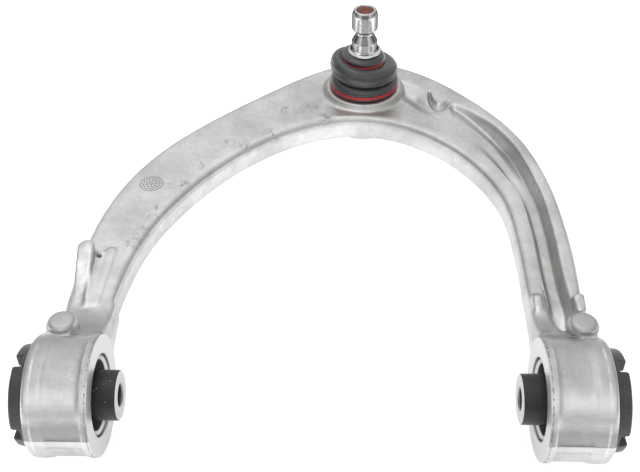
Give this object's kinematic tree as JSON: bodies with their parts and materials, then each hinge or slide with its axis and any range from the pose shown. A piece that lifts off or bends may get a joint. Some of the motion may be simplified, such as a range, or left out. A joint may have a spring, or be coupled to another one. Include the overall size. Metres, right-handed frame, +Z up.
{
  "type": "control arm",
  "caption": "Forged arch-shaped suspension control arm with two coaxial rubber bushes on its legs and an upright booted ball stud at its apex.",
  "frame": {"origin": "middle of the common axis of the two bushes", "axes": "+X along the bush axis towards the leg with the open channel, +Y from the bush axis towards the ball joint, +Z up, the way the ball stud points"},
  "size_m": [0.3272, 0.3742, 0.1122],
  "materials": {
    "forged_aluminium": "forged, shot blasted, machined at the barrel faces",
    "can_steel": "pressed, zinc plated",
    "sleeve_steel": "black coated, bare machined ends",
    "insert_steel": "plain",
    "cap_steel": "pressed, zinc plated",
    "stud_steel": "ground and polished",
    "bush_rubber": "moulded, satin",
    "stop_rubber": "moulded, satin",
    "boot_rubber": "moulded, satin",
    "seat_plastic": "moulded",
    "seat_elastomer": "moulded",
    "clamp_red": "coated ring"
  },
  "bodies": {
    "arm": {"arm_forging": "forged_aluminium", "front_bush_can": "can_steel", "front_bush_rubber": "bush_rubber", "front_bush_interleaf": "insert_steel", "front_bush_end_stop": "stop_rubber", "front_bush_stop_plate": "insert_steel", "rear_bush_can": "can_steel", "rear_bush_rubber": "bush_rubber", "rear_bush_interleaf": "insert_steel", "rear_bush_end_stop": "stop_rubber", "rear_bush_stop_plate": "insert_steel", "ball_seat": "seat_plastic", "seat_preload_ring": "seat_elastomer", "closing_cap": "cap_steel", "boot_support_ring": "insert_steel", "boot_lower_ring": "clamp_red"},
    "boot_carrier": {"dust_boot": "boot_rubber"},
    "boot_top": {"boot_upper_ring": "clamp_red"},
    "stud": {"ball_stud": "stud_steel"},
    "front_sleeve": {"front_bush_sleeve": "sleeve_steel"},
    "rear_sleeve": {"rear_bush_sleeve": "sleeve_steel"}
  },
  "joints": [
    {"name": "stud_tilt_fore_aft", "type": "hinge", "parent": "arm", "child": "boot_carrier", "pos_m": [0.0275, 0.297, 0], "axis": [0, 1, 0], "range_deg": [-18, 18], "deforming": ["dust_boot"]},
    {"name": "stud_tilt_in_out", "type": "hinge", "parent": "boot_carrier", "child": "boot_top", "pos_m": [0.0275, 0.297, 0], "axis": [1, 0, 0], "range_deg": [-18, 18]},
    {"name": "stud_spin", "type": "hinge", "parent": "boot_top", "child": "stud", "pos_m": [0.0275, 0.297, 0], "axis": [0, 0, 1], "continuous": true},
    {"name": "front_sleeve_twist", "type": "hinge", "parent": "arm", "child": "front_sleeve", "pos_m": [0.13645, 0, 0], "axis": [1, 0, 0], "range_deg": [-25, 25], "stiffness_Nm_per_rad": 45},
    {"name": "rear_sleeve_twist", "type": "hinge", "parent": "arm", "child": "rear_sleeve", "pos_m": [-0.13645, 0, 0], "axis": [1, 0, 0], "range_deg": [-25, 25], "stiffness_Nm_per_rad": 45}
  ]
}
